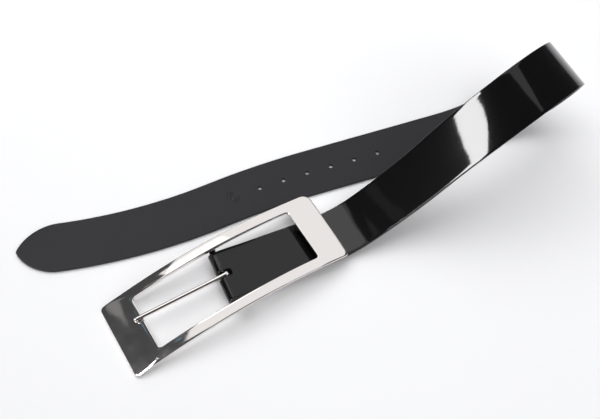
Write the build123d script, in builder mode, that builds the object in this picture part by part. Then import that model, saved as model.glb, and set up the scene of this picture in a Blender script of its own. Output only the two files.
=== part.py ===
"""Two-ply leather belt, loosely coiled on a table, with a long arched buckle.

All sizes are in millimetres and degrees, +Z is up and the table is z = 0. The
origin is on the table under the tail's centreline, half way along the row of
punched holes. The tail lies with its shiny face down. The strap then turns over
in a raised loop and comes back, face up, to a fold round the buckle's bar.
"""
from build123d import *
import os
from math import asin, cos, degrees, radians, sin, sqrt, tan

os.makedirs("parts", exist_ok=True)

# ---- strap ---------------------------------------------------------------
STRAP_WIDTH = 51.0
FACE_THICK = 1.8             # patent-finished outer leather
LINING_THICK = 1.5           # matte inner leather
GLUE_GAP = 0.05              # kept open so that the two plies are separate solids
STRAP_THICK = FACE_THICK + GLUE_GAP + LINING_THICK

# ---- tail, measured from the origin along its centreline -----------------
TAIL_HEADING = 18.5          # plan direction from the tip towards the loop
TAIL_TO_LOOP = 133.0         # straight part on the loop's side of the origin
TAIL_BEFORE_BEND = 9.0       # straight part on the tip's side
TAIL_BENDS = ((100.0, 7.0), (155.0, -16.5))   # length and turn of each gentle bend
TIP_TAPER = 41.5             # length of the pointed end
HOLE_PITCH = 25.0
HOLE_COUNT = 6
HOLE_DIA = 4.0
FIRST_HOLE = -62.5           # the hole nearest the tip

# ---- buckle frame, in its own frame: x along, y across, z off the arch ----
FRAME_LENGTH = 224.0
SIDE_ROOM = 2.4              # strap edge to window edge
RAIL_WIDTH = 10.2
WINDOW_WIDTH = STRAP_WIDTH + 2 * SIDE_ROOM
FRAME_WIDTH = WINDOW_WIDTH + 2 * RAIL_WIDTH
ARCH_RADIUS = 372.0
CROWN_THICK = 4.0
END_THICK = 3.0
LEFT_BAR = 30.4              # from the frame's end to the window
RIGHT_BAR = 28.2
WINDOW_CORNER = 3.0
FRAME_CORNER = 4.0
EDGE_ROUND = 1.1
FRAME_HEADING = 31.5
FRAME_RIGHT_END = (7.2, -66.2)   # plan position of the frame's end on the loop's side

# ---- centre bar and its lugs ---------------------------------------------
BAR_RADIUS = 2.0
BAR_PAST_MIDDLE = 2.8        # towards the loop from the frame's middle
BAR_DROP = 13.0              # bar axis below the crown's top
LUG_WALL = 1.3
LUG_THICK = 2.6              # along the bar
LUG_SETBACK = 1.0            # window edge to the lug's inner face
LUG_BITE = 1.0               # how far a lug runs up into its rail
BAR_CHAMFER = 0.2

# ---- prong ---------------------------------------------------------------
PRONG_DIA = 4.6
PRONG_CLEARANCE = 0.05       # running fit on the bar
PRONG_RING_WALL = 2.2
PRONG_RING_WIDTH = 4.8
PRONG_SIDE = 3.2             # sideways from the frame's middle line
PRONG_REACH = 95.0           # bar axis to tip
PRONG_BEND_AT = 11.0         # bar axis to the slight bend
PRONG_BEND_RISE = 3.7        # above the bar axis at the bend
PRONG_BEND_RADIUS = 30.0
PRONG_TIP_ROUND = 2.0
PRONG_SET = 2.3              # sideways angle of the straight part
PRONG_REST_GAP = 0.15        # over the left bar's edge

# ---- fold and flap -------------------------------------------------------
FOLD_ROOM = 0.3              # leather to bar
STRAP_SKEW = 6.5             # strap direction against the frame's
FOLD_SLACK = 0.2
FOLD_LEAD = STRAP_WIDTH / 2 * tan(radians(STRAP_SKEW)) + FOLD_SLACK   # axis behind the bar
STRAP_SHIFT = 2.0            # strap centreline to the frame's middle line at the bar
FLAP_SHARE = 0.7             # of the way from the bar to the gate
FLAP_HOVER = 0.15            # flap's end above the table
TUNNEL_LENGTH = 10.0         # full-height part of the fold
TUNNEL_TAPER = 14.0
SNAP_GAP = 2.5               # between the flap and the strap at the snaps
SLOT_WIDTH = 9.4
SLOT_PAST_BAR = 6.2
FOLD_RADIUS = BAR_RADIUS + FOLD_ROOM

# ---- snap fasteners ------------------------------------------------------
SNAP_SHARES = (0.485, 0.8)   # of the flap's length, from the fold's axis
SNAP_CAP_DIA = 12.5
SNAP_CAP_HEIGHT = 0.8
SNAP_RIVET_DIA = 4.0
SNAP_ROOM = 0.1              # metal to leather, round the rivets
SNAP_SEAT = 0.12             # metal to leather, under the flat faces
SOCKET_DIA = 11.5
SOCKET_BASE = 0.4
SOCKET_HEIGHT = 1.15
SOCKET_BORE_DIA = 6.6
STUD_DIA = 10.5
STUD_FLANGE = 0.9
STUD_NUB_DIA = 6.2
STUD_NUB_LENGTH = 0.6
POST_HEAD_DIA = 8.0
POST_HEAD_HEIGHT = 0.45

# ---- loop: centreline points (x, y, z) and lean, from the frame to the tail
GATE_HOVER = 2.9             # strap underside above the table beneath the right bar
GATE_FROM_END = 12.0         # frame's end back to that place
RIGHT_BAR_ROOM = 2.7         # right bar above the strap there
WIDTH_AXIS_HEADING = -60.0   # the strap's width lies near this direction all the way
LOOP = (
    (19.0, -72.5, 6.8, 2.0),
    (53.0, -55.5, 21.5, 2.5),
    (88.5, -39.0, 49.0, 1.0),
    (120.0, -24.5, 79.5, -3.5),
    (152.5, -9.5, 107.5, -14.0),
    (186.5, 11.5, 123.0, -18.5),
    (220.0, 42.0, 114.5, -9.5),
    (233.0, 64.5, 85.0, 2.5),
    (224.0, 73.0, 47.0, 8.0),
    (196.5, 67.5, 18.5, 5.5),
    (162.0, 55.0, 4.4, 0.3),
)
STATIONS = 64                # cross-sections lofted along the loop
FLAP_STATIONS = 9
CUT_PAST = 2.0               # how far a cut runs past the piece it goes through


def heading_vector(angle):
    """A horizontal unit vector at a plan angle."""
    return Vector(cos(radians(angle)), sin(radians(angle)), 0)


# ---- where the frame sits ------------------------------------------------
ARCH_DROP = ARCH_RADIUS - sqrt(ARCH_RADIUS**2 - (FRAME_LENGTH / 2) ** 2)
RIGHT_END_LIFT = GATE_HOVER + STRAP_THICK + RIGHT_BAR_ROOM
FRAME_PITCH = degrees(asin(RIGHT_END_LIFT / FRAME_LENGTH))
END_DEPTH = ARCH_DROP + END_THICK
CROWN_HEIGHT = RIGHT_END_LIFT / 2 + END_DEPTH * cos(radians(FRAME_PITCH))
ALONG = heading_vector(FRAME_HEADING)
ACROSS = heading_vector(FRAME_HEADING + 90)
MIDDLE = Vector(*FRAME_RIGHT_END, 0) - ALONG * (FRAME_LENGTH / 2)
FRAME_X = (ALONG + Vector(0, 0, tan(radians(FRAME_PITCH)))).normalized()
SEAT = Plane(
    origin=(MIDDLE.X, MIDDLE.Y, CROWN_HEIGHT),
    x_dir=FRAME_X,
    z_dir=FRAME_X.cross(ACROSS),
)


def on_frame(x, y, z):
    """A point given in the buckle frame's own coordinates."""
    return SEAT.from_local_coords(Vector(x, y, z))


def frame_side_plane(y):
    """The frame's lengthwise upright plane, moved sideways by y."""
    return Plane(origin=on_frame(0, y, 0), x_dir=SEAT.x_dir, z_dir=-SEAT.y_dir)


BAR_CENTRE = on_frame(BAR_PAST_MIDDLE, 0, -BAR_DROP)
BAR_AXIS = SEAT.y_dir

# ---- the strap's route ---------------------------------------------------
STRAP_DIRECTION = heading_vector(FRAME_HEADING - STRAP_SKEW)
TAIL_DIRECTION = heading_vector(TAIL_HEADING)
FOLD_AXIS_POINT = BAR_CENTRE + ACROSS * STRAP_SHIFT - STRAP_DIRECTION * FOLD_LEAD
ROUTE_START = FOLD_AXIS_POINT + Vector(0, 0, FOLD_RADIUS + STRAP_THICK / 2)
BAR_TO_GATE = FRAME_LENGTH / 2 - BAR_PAST_MIDDLE - GATE_FROM_END + FOLD_LEAD
FLAP_LENGTH = FLAP_SHARE * BAR_TO_GATE
SNAP_PLACES = [share * FLAP_LENGTH for share in SNAP_SHARES]
FLAP_END_HEIGHT = 1.5 * STRAP_THICK + SNAP_GAP + FLAP_HOVER
GATE_HEIGHT = GATE_HOVER + STRAP_THICK / 2


def under_frame_point(distance, height):
    """A centreline point between the bar and the frame's end, at a height."""
    point = ROUTE_START + STRAP_DIRECTION * distance
    return (point.X, point.Y, height, 0.0)


ROUTE = [
    under_frame_point(0, ROUTE_START.Z),
    under_frame_point(FLAP_LENGTH * 0.4, 0.4 * FLAP_END_HEIGHT + 0.6 * ROUTE_START.Z),
    under_frame_point(FLAP_LENGTH, FLAP_END_HEIGHT),
    under_frame_point(BAR_TO_GATE, GATE_HEIGHT),
    *LOOP,
    (
        TAIL_TO_LOOP * TAIL_DIRECTION.X,
        TAIL_TO_LOOP * TAIL_DIRECTION.Y,
        STRAP_THICK / 2,
        0.0,
    ),
]


def smooth_curve(knots, values, first_slope, last_slope):
    """Knot slopes of the cubic curve through the values with no jump in curvature."""
    count = len(knots)
    step = [knots[i + 1] - knots[i] for i in range(count - 1)]
    rise = [(values[i + 1] - values[i]) / step[i] for i in range(count - 1)]
    carry = [0.0]
    slope = [first_slope]
    for i in range(1, count - 1):
        pivot = 2 * (step[i - 1] + step[i]) - step[i] * carry[i - 1]
        target = 3 * (step[i] * rise[i - 1] + step[i - 1] * rise[i])
        carry.append(step[i - 1] / pivot)
        slope.append((target - step[i] * slope[i - 1]) / pivot)
    slope.append(last_slope)
    for i in range(count - 2, 0, -1):
        slope[i] -= carry[i] * slope[i + 1]
    return slope


def curve_at(knots, values, slopes, q):
    """Value and slope of the curve at q."""
    i = 0
    while i < len(knots) - 2 and q > knots[i + 1]:
        i += 1
    h = knots[i + 1] - knots[i]
    u = (q - knots[i]) / h
    a, b = values[i], values[i + 1]
    m, n = slopes[i] * h, slopes[i + 1] * h
    value = a + u * (m + u * (3 * (b - a) - 2 * m - n + u * (2 * (a - b) + m + n)))
    slope = (m + u * (2 * (3 * (b - a) - 2 * m - n) + u * 3 * (2 * (a - b) + m + n))) / h
    return value, slope


KNOTS = [0.0]
for before, after in zip(ROUTE, ROUTE[1:]):
    chord = sqrt(sum((after[k] - before[k]) ** 2 for k in range(3)))
    KNOTS.append(KNOTS[-1] + chord)
FIRST_SLOPES = (STRAP_DIRECTION.X, STRAP_DIRECTION.Y, 0.0, 0.0)
LAST_SLOPES = (-TAIL_DIRECTION.X, -TAIL_DIRECTION.Y, 0.0, 0.0)
TRACKS = []
for k in range(4):
    track_values = [row[k] for row in ROUTE]
    track_slopes = smooth_curve(KNOTS, track_values, FIRST_SLOPES[k], LAST_SLOPES[k])
    TRACKS.append((track_values, track_slopes))
WIDTH_AXIS = heading_vector(WIDTH_AXIS_HEADING)


def strap_frame(q):
    """Centre, forward, width and face-normal directions at q along the route."""
    found = [curve_at(KNOTS, values, slopes, q) for values, slopes in TRACKS]
    centre = Vector(*(value for value, _ in found[:3]))
    forward = Vector(*(slope for _, slope in found[:3])).normalized()
    lean = radians(found[3][0])
    level = (WIDTH_AXIS - forward * WIDTH_AXIS.dot(forward)).normalized()
    width = level * cos(lean) + level.cross(forward) * sin(lean)
    return centre, forward, width, width.cross(forward)


def strap_plane(q, offset):
    """The plane square to the strap at q, moved along the face normal."""
    centre, forward, width, normal = strap_frame(q)
    return Plane(origin=centre + normal * offset, x_dir=width, z_dir=forward)


def flap_gap(q):
    """Distance between the strap's and the flap's linings at q."""
    u = min(max((q - TUNNEL_LENGTH) / TUNNEL_TAPER, 0), 1)
    blend = u * u * (3 - 2 * u)
    return 2 * FOLD_RADIUS + (SNAP_GAP - 2 * FOLD_RADIUS) * blend


def tail_point(distance):
    """Centreline point and heading on the tail; positive towards the loop."""
    if distance >= -TAIL_BEFORE_BEND:
        return TAIL_DIRECTION * distance, TAIL_HEADING
    point = TAIL_DIRECTION * -TAIL_BEFORE_BEND
    heading = TAIL_HEADING
    left = -TAIL_BEFORE_BEND - distance
    for length, turn in TAIL_BENDS:
        run = min(left, length)
        swing = turn * run / length
        chord = run if swing == 0 else run * sin(radians(swing / 2)) / radians(swing / 2)
        point = point - heading_vector(heading + swing / 2) * chord
        heading += swing
        left -= run
        if left <= 0:
            break
    return point - heading_vector(heading) * left, heading


TAIL_LENGTH = TAIL_BEFORE_BEND + sum(length for length, _ in TAIL_BENDS) + TIP_TAPER


def draw_tail_outline():
    """Closed outline of the tail, from the loop's end to the pointed tip."""
    tip, _ = tail_point(-TAIL_LENGTH)
    starts = []
    for side in (1, -1):
        sideways = heading_vector(TAIL_HEADING - 90) * side * STRAP_WIDTH / 2
        begin = TAIL_DIRECTION * TAIL_TO_LOOP + sideways
        run = Line(begin, begin - TAIL_DIRECTION * (TAIL_TO_LOOP + TAIL_BEFORE_BEND))
        starts.append(begin)
        for length, turn in TAIL_BENDS:
            radius = length / radians(abs(turn))
            inner = side if turn < 0 else -side
            edge_radius = radius + inner * -STRAP_WIDTH / 2
            run = JernArc(run @ 1, run % 1, edge_radius, turn)
        TangentArc(run @ 1, tip, tangent=run % 1)
    Line(*starts)


def snap_plane(q, offset):
    """A plane parallel to the strap at q, moved along the face normal."""
    centre, forward, width, normal = strap_frame(q)
    return Plane(origin=centre + normal * offset, x_dir=forward, z_dir=normal)


FACE_OFFSET = STRAP_THICK / 2 - FACE_THICK / 2
LINING_OFFSET = -STRAP_THICK / 2 + LINING_THICK / 2
LINING_TOP = -STRAP_THICK / 2 + LINING_THICK
FLAP_TOP = -STRAP_THICK / 2 - SNAP_GAP
FLAP_BOTTOM = FLAP_TOP - STRAP_THICK
CAP_FACE = FLAP_BOTTOM - SNAP_SEAT
SOCKET_FLOOR = FLAP_TOP + SNAP_SEAT
STUD_FACE = -STRAP_THICK / 2 - SNAP_SEAT
POST_FACE = LINING_TOP + SNAP_SEAT
RIVET_HOLE_DIA = SNAP_RIVET_DIA + 2 * SNAP_ROOM

# ---- strap plies ---------------------------------------------------------
PLIES = (("strap_face", FACE_THICK, FACE_OFFSET), ("strap_lining", LINING_THICK, LINING_OFFSET))
SLOT_START = -FOLD_RADIUS - STRAP_THICK - CUT_PAST
SLOT_END = FOLD_LEAD + SLOT_PAST_BAR
SLOT_DEPTH = 2 * (STRAP_THICK + FOLD_RADIUS + CUT_PAST)
for node, thickness, offset in PLIES:
    with BuildPart() as ply:
        # the strap from the fold to the tail
        for i in range(STATIONS + 1):
            with BuildSketch(strap_plane(KNOTS[-1] * i / STATIONS, offset)):
                Rectangle(STRAP_WIDTH, thickness)
        loft()
        # the fold
        centre, forward, width, normal = strap_frame(0)
        with BuildSketch(strap_plane(0, offset)):
            Rectangle(STRAP_WIDTH, thickness)
        fold_axis = Axis(centre - normal * (STRAP_THICK / 2 + FOLD_RADIUS), width)
        revolve(axis=fold_axis, revolution_arc=180)
        # the flap turned back under the strap
        for i in range(FLAP_STATIONS):
            q = FLAP_LENGTH * i / (FLAP_STATIONS - 1)
            with BuildSketch(strap_plane(q, -STRAP_THICK - flap_gap(q) - offset)):
                Rectangle(STRAP_WIDTH, thickness)
        loft()
        # the tail, shiny face down
        with BuildSketch(Plane.XY.offset(STRAP_THICK / 2 - offset - thickness / 2)):
            with BuildLine():
                draw_tail_outline()
            make_face()
        extrude(amount=thickness)
        # the prong's slot through the fold
        slot_middle = FOLD_AXIS_POINT + STRAP_DIRECTION * (SLOT_START + SLOT_END) / 2
        with BuildSketch(Plane(origin=slot_middle, x_dir=STRAP_DIRECTION, z_dir=(0, 0, 1))):
            Rectangle(SLOT_END - SLOT_START, SLOT_WIDTH)
        extrude(amount=SLOT_DEPTH / 2, both=True, mode=Mode.SUBTRACT)
        # the punched holes
        for i in range(HOLE_COUNT):
            place, _ = tail_point(FIRST_HOLE + i * HOLE_PITCH)
            with BuildSketch(Plane(origin=(place.X, place.Y, -CUT_PAST))):
                Circle(HOLE_DIA / 2)
            extrude(amount=STRAP_THICK + 2 * CUT_PAST, mode=Mode.SUBTRACT)
        # the snaps' rivet holes in the flap and the lining
        for q in SNAP_PLACES:
            with BuildSketch(snap_plane(q, FLAP_BOTTOM - CUT_PAST)):
                Circle(RIVET_HOLE_DIA / 2)
            extrude(amount=LINING_TOP - FLAP_BOTTOM + CUT_PAST, mode=Mode.SUBTRACT)
            with BuildSketch(snap_plane(q, LINING_TOP)):
                Circle(POST_HEAD_DIA / 2 + SNAP_ROOM)
            extrude(amount=POST_HEAD_HEIGHT + 2 * SNAP_SEAT, mode=Mode.SUBTRACT)
    ply.part.label = node
    export_step(ply.part, f"parts/{node}.step")

# ---- snap fasteners ------------------------------------------------------
for number, place in enumerate(SNAP_PLACES, start=1):
    with BuildPart() as snap_cap:
        with BuildSketch(snap_plane(place, CAP_FACE - SNAP_CAP_HEIGHT)):
            Circle(SNAP_CAP_DIA / 2)
        extrude(amount=SNAP_CAP_HEIGHT)
        fillet(snap_cap.faces().sort_by(Axis.Z)[0].edges(), SNAP_CAP_HEIGHT * 0.6)
        with BuildSketch(snap_plane(place, CAP_FACE)):
            Circle(SNAP_RIVET_DIA / 2)
        extrude(amount=SOCKET_FLOOR + SOCKET_BASE - CAP_FACE)
    snap_cap.part.label = f"snap_cap_{number}"
    export_step(snap_cap.part, f"parts/snap_cap_{number}.step")

    with BuildPart() as snap_socket:
        with BuildSketch(snap_plane(place, SOCKET_FLOOR)):
            Circle(SOCKET_DIA / 2)
        extrude(amount=SOCKET_HEIGHT)
        with BuildSketch(snap_plane(place, SOCKET_FLOOR + SOCKET_BASE)):
            Circle(SOCKET_BORE_DIA / 2)
        extrude(amount=SOCKET_HEIGHT, mode=Mode.SUBTRACT)
        with BuildSketch(snap_plane(place, SOCKET_FLOOR - CUT_PAST)):
            Circle(SNAP_RIVET_DIA / 2)
        extrude(amount=SOCKET_BASE + 2 * CUT_PAST, mode=Mode.SUBTRACT)
    snap_socket.part.label = f"snap_socket_{number}"
    export_step(snap_socket.part, f"parts/snap_socket_{number}.step")

    with BuildPart() as snap_stud:
        with BuildSketch(snap_plane(place, STUD_FACE)):
            Circle(STUD_DIA / 2)
            Circle(SNAP_RIVET_DIA / 2, mode=Mode.SUBTRACT)
        extrude(amount=-STUD_FLANGE)
        with BuildSketch(snap_plane(place, STUD_FACE - STUD_FLANGE)):
            Circle(STUD_NUB_DIA / 2)
            Circle(SNAP_RIVET_DIA / 2, mode=Mode.SUBTRACT)
        extrude(amount=-STUD_NUB_LENGTH)
    snap_stud.part.label = f"snap_stud_{number}"
    export_step(snap_stud.part, f"parts/snap_stud_{number}.step")

    with BuildPart() as snap_post:
        with BuildSketch(snap_plane(place, POST_FACE)):
            Circle(POST_HEAD_DIA / 2)
        extrude(amount=POST_HEAD_HEIGHT)
        with BuildSketch(snap_plane(place, POST_FACE)):
            Circle(SNAP_RIVET_DIA / 2)
        extrude(amount=STUD_FACE - STUD_FLANGE - STUD_NUB_LENGTH - POST_FACE)
    snap_post.part.label = f"snap_post_{number}"
    export_step(snap_post.part, f"parts/snap_post_{number}.step")

# ---- buckle frame --------------------------------------------------------
LUG_RADIUS = BAR_RADIUS + LUG_WALL
LUG_INNER = WINDOW_WIDTH / 2 + LUG_SETBACK
LUG_TOP = LUG_BITE - CROWN_THICK
with BuildPart() as buckle_frame:
    with BuildSketch(frame_side_plane(0)):
        with BuildLine():
            end = FRAME_LENGTH / 2
            top = ThreePointArc((-end, -ARCH_DROP), (0, 0), (end, -ARCH_DROP))
            under = ThreePointArc((end, -END_DEPTH), (0, -CROWN_THICK), (-end, -END_DEPTH))
            Line(top @ 1, under @ 0)
            Line(under @ 1, top @ 0)
        make_face()
    extrude(amount=FRAME_WIDTH / 2, both=True)
    with BuildSketch(SEAT):
        window_length = FRAME_LENGTH - LEFT_BAR - RIGHT_BAR
        with Locations(((LEFT_BAR - RIGHT_BAR) / 2, 0)):
            RectangleRounded(window_length, WINDOW_WIDTH, WINDOW_CORNER)
    extrude(amount=END_DEPTH + CUT_PAST, both=True, mode=Mode.SUBTRACT)
    upright = buckle_frame.edges().filter_by(Axis(SEAT.origin, SEAT.z_dir))
    end_to_end = upright.sort_by(Axis(SEAT.origin, SEAT.x_dir))
    fillet(end_to_end[:2] + end_to_end[-2:], FRAME_CORNER)
    rims = []
    for edge in buckle_frame.edges():
        spot = SEAT.to_local_coords(edge.center())
        surface = sqrt(ARCH_RADIUS**2 - spot.X**2) - ARCH_RADIUS
        if abs(spot.Z - surface) < END_THICK / 4:
            rims.append(edge)
    fillet(rims, EDGE_ROUND)
    for side in (1, -1):
        with BuildSketch(frame_side_plane(side * LUG_INNER)):
            with Locations((BAR_PAST_MIDDLE, -BAR_DROP)):
                Circle(LUG_RADIUS)
            with Locations((BAR_PAST_MIDDLE, (LUG_TOP - BAR_DROP) / 2)):
                Rectangle(2 * LUG_RADIUS, BAR_DROP + LUG_TOP)
        extrude(amount=-side * LUG_THICK)
        with BuildSketch(frame_side_plane(side * LUG_INNER)):
            with Locations((BAR_PAST_MIDDLE, -BAR_DROP)):
                Circle(BAR_RADIUS)
        extrude(amount=-side * LUG_THICK, mode=Mode.SUBTRACT)
buckle_frame.part.label = "buckle_frame"
export_step(buckle_frame.part, "parts/buckle_frame.step")

# ---- centre bar ----------------------------------------------------------
BAR_HALF = LUG_INNER + LUG_THICK
with BuildPart() as centre_bar:
    with BuildSketch(Plane(origin=BAR_CENTRE, x_dir=SEAT.x_dir, z_dir=BAR_AXIS)):
        Circle(BAR_RADIUS)
    extrude(amount=BAR_HALF, both=True)
    chamfer(centre_bar.edges().filter_by(GeomType.CIRCLE), BAR_CHAMFER)
centre_bar.part.label = "centre_bar"
export_step(centre_bar.part, "parts/centre_bar.step")

# ---- prong ---------------------------------------------------------------
RING_BORE = BAR_RADIUS + PRONG_CLEARANCE
RING_RADIUS = RING_BORE + PRONG_RING_WALL
PRONG_ROOT_RISE = RING_RADIUS - PRONG_DIA / 4
BAR_EDGE_X = LEFT_BAR - EDGE_ROUND - FRAME_LENGTH / 2
BAR_EDGE_Z = sqrt(ARCH_RADIUS**2 - BAR_EDGE_X**2) - ARCH_RADIUS
REST_Z = BAR_EDGE_Z + PRONG_DIA / 2 + PRONG_REST_GAP
ROOT = (BAR_PAST_MIDDLE, PRONG_SIDE, PRONG_ROOT_RISE - BAR_DROP)
BEND = (BAR_PAST_MIDDLE - PRONG_BEND_AT, PRONG_SIDE, PRONG_BEND_RISE - BAR_DROP)
STRAIGHT = PRONG_REACH - PRONG_BEND_AT - PRONG_DIA / 2
RISE_RATE = (REST_Z - BEND[2]) / (BEND[0] - BAR_EDGE_X)
TIP = (
    BEND[0] - STRAIGHT,
    PRONG_SIDE + STRAIGHT * tan(radians(PRONG_SET)),
    BEND[2] + STRAIGHT * RISE_RATE,
)
with BuildPart() as prong:
    ring_centre = on_frame(BAR_PAST_MIDDLE, PRONG_SIDE, -BAR_DROP)
    with BuildSketch(Plane(origin=ring_centre, x_dir=SEAT.x_dir, z_dir=BAR_AXIS)):
        Circle(RING_RADIUS)
    extrude(amount=PRONG_RING_WIDTH / 2, both=True)
    with BuildLine():
        corners = [on_frame(*ROOT), on_frame(*BEND), on_frame(*TIP)]
        path = FilletPolyline(*corners, radius=PRONG_BEND_RADIUS)
    with BuildSketch(Plane(origin=path @ 0, x_dir=BAR_AXIS, z_dir=path % 0)):
        Circle(PRONG_DIA / 2)
    sweep(path=path)
    with BuildSketch(Plane(origin=ring_centre, x_dir=SEAT.x_dir, z_dir=BAR_AXIS)):
        Circle(RING_BORE)
    extrude(amount=PRONG_RING_WIDTH, both=True, mode=Mode.SUBTRACT)
    along_prong = Axis(path @ 1, path % 1)
    fillet(prong.edges().filter_by(GeomType.CIRCLE).sort_by(along_prong)[-1], PRONG_TIP_ROUND)
prong.part.label = "prong"
export_step(prong.part, "parts/prong.step")
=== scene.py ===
"""Looks for the wide leather belt with the long arched buckle.

Metres, in the frame's own axes: +Z is up and the table is z = 0. The strap is one band
worked out along its route (flap, fold, raised loop, tail), so the two leather plies are
surfaces of two parameters: distance along the strap and distance across it.
"""

import math

import bpy
import numpy as np
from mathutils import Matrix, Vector


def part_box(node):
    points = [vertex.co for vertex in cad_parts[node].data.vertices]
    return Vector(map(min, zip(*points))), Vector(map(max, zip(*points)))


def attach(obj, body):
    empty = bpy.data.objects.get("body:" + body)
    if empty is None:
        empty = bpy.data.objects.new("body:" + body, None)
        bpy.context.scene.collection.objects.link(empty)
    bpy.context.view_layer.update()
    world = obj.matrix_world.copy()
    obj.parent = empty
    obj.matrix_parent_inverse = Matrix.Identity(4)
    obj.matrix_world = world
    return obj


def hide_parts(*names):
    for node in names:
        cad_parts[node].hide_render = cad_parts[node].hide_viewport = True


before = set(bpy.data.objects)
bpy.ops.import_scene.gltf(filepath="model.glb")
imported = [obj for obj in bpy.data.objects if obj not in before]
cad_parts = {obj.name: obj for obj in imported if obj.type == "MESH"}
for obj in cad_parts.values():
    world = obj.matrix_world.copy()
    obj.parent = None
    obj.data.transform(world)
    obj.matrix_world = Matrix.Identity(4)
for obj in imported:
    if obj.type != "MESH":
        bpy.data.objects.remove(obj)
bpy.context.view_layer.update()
MM = 0.001

# ---- strap sizes ---------------------------------------------------------
HALF_WIDTH = 25.5 * MM
FACE_THICK = 1.8 * MM
LINING_THICK = 1.5 * MM
GLUE_GAP = 0.05 * MM
STRAP_THICK = FACE_THICK + GLUE_GAP + LINING_THICK
GLUE_HEIGHT = LINING_THICK - STRAP_THICK / 2      # glue line measured from mid thickness
FACE_EDGE_ROUND = 0.75 * MM
LINING_EDGE_ROUND = 0.55 * MM
HOLE_RADIUS = 2.0 * MM
HOLE_PITCH = 25.0 * MM
HOLE_COUNT = 6
FIRST_HOLE = -62.5 * MM
HOLE_EDGE_ROUND = 0.3 * MM
STAMP_PLACE = -90.0 * MM     # blind stamp pressed into the lining, a plain double ring
STAMP_DEPTH = 0.5 * MM
STAMP_RINGS = (6.2 * MM, 3.2 * MM)
STAMP_GROOVE = 0.9 * MM      # half width of each groove
TIP_TAPER = 41.5 * MM
TIP_CUT = 1.0 * MM           # the blunt end stands this far back from the full point
NOSE_END = 0.4 * MM          # half width kept at the very end

# ---- tail ----------------------------------------------------------------
TAIL_HEADING = 18.5
TAIL_TO_LOOP = 133.0 * MM
TAIL_BEFORE_BEND = 9.0 * MM
TAIL_BENDS = ((100.0 * MM, 7.0), (155.0 * MM, -16.5))
TAIL_LENGTH = TAIL_BEFORE_BEND + sum(length for length, _ in TAIL_BENDS) + TIP_TAPER

# ---- buckle frame --------------------------------------------------------
FRAME_LENGTH = 224.0 * MM
WINDOW_WIDTH = 55.8 * MM
RAIL_WIDTH = 10.2 * MM
ARCH_RADIUS = 372.0 * MM
CROWN_THICK = 4.0 * MM
END_THICK = 3.0 * MM
LEFT_BAR = 30.4 * MM
RIGHT_BAR = 28.2 * MM
WINDOW_CORNER = 3.0 * MM
LEFT_CORNER = 4.0 * MM
RIGHT_NEAR_CORNER = 4.5 * MM
RIGHT_FAR_CORNER = 8.0 * MM
EDGE_ROUND = 1.1 * MM
FRAME_HEADING = 31.5
RAIL_DOME = 0.6 * MM         # how far a rail's top falls from the window to its outer edge
DOME_EASE = 24.0 * MM        # length over which that fall grows from the end bars
UNDER_ROUND = 0.3 * MM
BAR_PAST_MIDDLE = 2.8 * MM
BAR_DROP = 13.0 * MM
LUG_RADIUS = 3.3 * MM
LUG_SETBACK = 1.0 * MM
LUG_THICK = 2.6 * MM
GATE_HOVER = 2.9 * MM
RIGHT_BAR_ROOM = 2.7 * MM
GATE_FROM_END = 12.0 * MM

# ---- fold and flap -------------------------------------------------------
FOLD_RADIUS = 2.3 * MM
STRAP_SKEW = 6.5
FOLD_SLACK = 0.2 * MM
FOLD_LEAD = HALF_WIDTH * math.tan(math.radians(STRAP_SKEW)) + FOLD_SLACK
STRAP_SHIFT = 2.0 * MM
FLAP_SHARE = 0.7             # of the way from the bar to the gate
FLAP_HOVER = 0.15 * MM
TUNNEL_LENGTH = 10.0 * MM
TUNNEL_TAPER = 14.0 * MM
SNAP_GAP = 2.5 * MM
SLOT_HALF = 3.6 * MM
SLOT_END = 9.3 * MM
SLOT_SIDE = -1.2 * MM

# ---- prong ---------------------------------------------------------------
PRONG_RADIUS = 2.3 * MM
PRONG_RING_BORE = 2.05 * MM
PRONG_RING_WALL = 2.2 * MM
PRONG_RING_WIDTH = 4.8 * MM
PRONG_SIDE = 3.2 * MM
PRONG_REACH = 95.0 * MM
PRONG_BEND_AT = 11.0 * MM
PRONG_BEND_RISE = 3.7 * MM
PRONG_SET = 2.3
PRONG_REST_GAP = 0.15 * MM
PRONG_BEND_SPAN = 3.5 * MM

# ---- loop: centreline (x, y, z) in mm and lean in degrees ------------------
LOOP = (
    (19.0, -72.5, 6.8, 2.0),
    (53.0, -55.5, 21.5, 2.5),
    (88.5, -39.0, 49.0, 1.0),
    (120.0, -24.5, 79.5, -3.5),
    (152.5, -9.5, 107.5, -14.0),
    (186.5, 11.5, 123.0, -18.5),
    (220.0, 42.0, 114.5, -9.5),
    (233.0, 64.5, 85.0, 2.5),
    (224.0, 73.0, 47.0, 8.0),
    (196.5, 67.5, 18.5, 5.5),
    (162.0, 55.0, 4.4, 0.3),
)
WIDTH_AXIS_HEADING = -60.0


def heading(angle):
    """Horizontal unit vectors at plan angles in degrees, one per row."""
    turn = np.radians(np.asarray(angle, float))
    return np.stack([np.cos(turn), np.sin(turn), np.zeros_like(turn)], axis=-1)


def unit(rows):
    """Each row divided by its length."""
    return rows / np.linalg.norm(rows, axis=-1, keepdims=True)


# ---- the frame's seat ----------------------------------------------------
bar_box = np.array(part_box("centre_bar"))
BAR_CENTRE = bar_box.mean(axis=0)
RIGHT_END_LIFT = GATE_HOVER + STRAP_THICK + RIGHT_BAR_ROOM
PITCH = math.asin(RIGHT_END_LIFT / FRAME_LENGTH)
FRAME_Y = heading(FRAME_HEADING + 90)
FRAME_X = unit(heading(FRAME_HEADING) + np.array([0, 0, math.tan(PITCH)]))
FRAME_Z = np.cross(FRAME_X, FRAME_Y)
SEAT = BAR_CENTRE - FRAME_X * BAR_PAST_MIDDLE + FRAME_Z * BAR_DROP


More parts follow.
